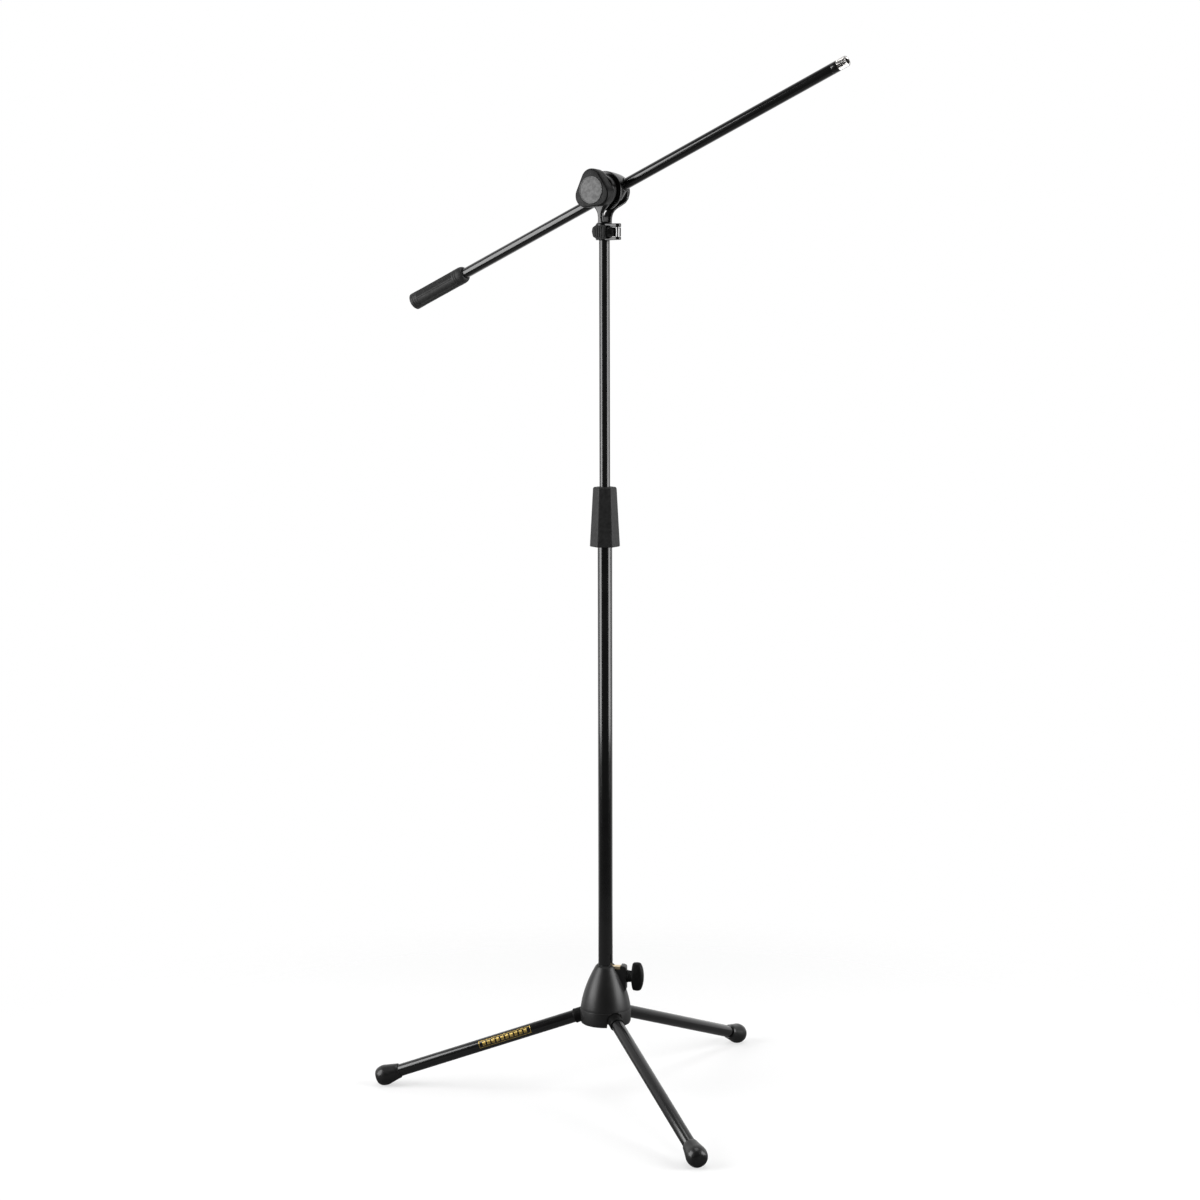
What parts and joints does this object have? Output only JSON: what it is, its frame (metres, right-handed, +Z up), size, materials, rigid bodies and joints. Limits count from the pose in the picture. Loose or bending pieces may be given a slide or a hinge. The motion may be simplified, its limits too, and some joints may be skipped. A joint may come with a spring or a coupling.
{
  "type": "boom microphone stand",
  "caption": "Folding tripod stand with a cast hub, two-stage height mast with twist clutch, and a sliding, tilting boom arm that ends in a microphone thread.",
  "frame": {"origin": "on the mast axis, in the plane of the three soles", "axes": "+Z up along the mast; the left leg points along -X and the base knob along +X"},
  "size_m": [0.7302, 0.6342, 1.5507],
  "materials": {
    "tube_black": "gloss black enamel on steel tube",
    "casting_black": "satin black enamel on a zinc casting",
    "casting_gloss": "gloss black enamel on a zinc casting",
    "plastic_black": "moulded glass-filled nylon, fine texture",
    "grip_rubber": "matte overmoulded rubber",
    "foot_rubber": "matte moulded rubber",
    "nylon_black": "plain moulded nylon",
    "steel": "zinc-plated steel",
    "brass": "plain turned brass",
    "medallion_grey": "blasted light alloy",
    "nickel": "nickel-plated thread"
  },
  "bodies": {
    "base": {"base_hub": "casting_black", "hub_bush": "nylon_black", "brass_pad": "brass", "leg_pivot_pins": "steel"},
    "base_knob": {"base_knob": "plastic_black", "base_screw": "steel"},
    "leg_left": {"leg_root_left": "plastic_black", "leg_tube_left": "tube_black", "foot_left": "foot_rubber"},
    "leg_front": {"leg_root_front": "plastic_black", "leg_tube_front": "tube_black", "foot_front": "foot_rubber"},
    "leg_rear": {"leg_root_rear": "plastic_black", "leg_tube_rear": "tube_black", "foot_rear": "foot_rubber"},
    "mast_lower": {"lower_tube": "tube_black", "lower_tube_cap": "nylon_black", "clutch_collet": "nylon_black"},
    "clutch": {"clutch_grip": "grip_rubber"},
    "mast_upper": {"upper_tube": "tube_black", "upper_tube_bush": "nylon_black", "upper_tube_plug": "nylon_black"},
    "head": {"yoke": "casting_gloss", "latch_pin": "steel", "friction_disc": "nylon_black", "tilt_washer": "steel"},
    "latch": {"latch_lever": "plastic_black"},
    "boom_clamp": {"boom_clamp": "casting_gloss", "clamp_liner": "nylon_black", "tilt_stud": "steel"},
    "tilt_knob": {"tilt_knob": "plastic_black", "tilt_knob_insert": "brass", "tilt_knob_medallion": "medallion_grey"},
    "boom": {"boom_tube": "tube_black", "boom_grip": "grip_rubber", "boom_tip": "nickel"}
  },
  "joints": [
    {"name": "base_knob_turn", "type": "hinge", "parent": "base", "child": "base_knob", "pos_m": [0.033, 0, 0.1885], "axis": [1, 0, 0], "continuous": true},
    {"name": "leg_left_fold", "type": "hinge", "parent": "base", "child": "leg_left", "pos_m": [-0.027, 0, 0.13035], "axis": [0, -1, 0], "range_deg": [0, 68]},
    {"name": "leg_front_fold", "type": "hinge", "parent": "base", "child": "leg_front", "pos_m": [0.0135, -0.02338, 0.13035], "axis": [0.866, 0.5, 0], "range_deg": [0, 68]},
    {"name": "leg_rear_fold", "type": "hinge", "parent": "base", "child": "leg_rear", "pos_m": [0.0135, 0.02338, 0.13035], "axis": [-0.866, 0.5, 0], "range_deg": [0, 68]},
    {"name": "mast_slide", "type": "slide", "parent": "base", "child": "mast_lower", "axis": [0, 0, 1], "range_m": [-0.105, 0]},
    {"name": "clutch_twist", "type": "hinge", "parent": "mast_lower", "child": "clutch", "pos_m": [0, 0, 0.89], "axis": [0, 0, 1], "range_deg": [0, 150]},
    {"name": "height_slide", "type": "slide", "parent": "mast_lower", "child": "mast_upper", "axis": [0, 0, 1], "range_m": [-0.36, 0.26]},
    {"name": "head_swivel", "type": "hinge", "parent": "mast_upper", "child": "head", "pos_m": [0, 0, 1.315], "axis": [0, 0, 1], "continuous": true},
    {"name": "latch_release", "type": "hinge", "parent": "head", "child": "latch", "pos_m": [0.02221, -0.01729, 1.3145], "axis": [0, 0, 1], "range_deg": [0, 75]},
    {"name": "boom_tilt", "type": "hinge", "parent": "head", "child": "boom_clamp", "pos_m": [0, 0, 1.3753], "axis": [-0.4318, -0.902, 0], "range_deg": [-64, 21]},
    {"name": "tilt_knob_turn", "type": "hinge", "parent": "head", "child": "tilt_knob", "pos_m": [-0.01079, -0.02255, 1.3753], "axis": [-0.4318, -0.902, 0], "continuous": true},
    {"name": "boom_slide", "type": "slide", "parent": "boom_clamp", "child": "boom", "axis": [0.8288, -0.3967, 0.3946], "range_m": [-0.37, 0.27]}
  ]
}
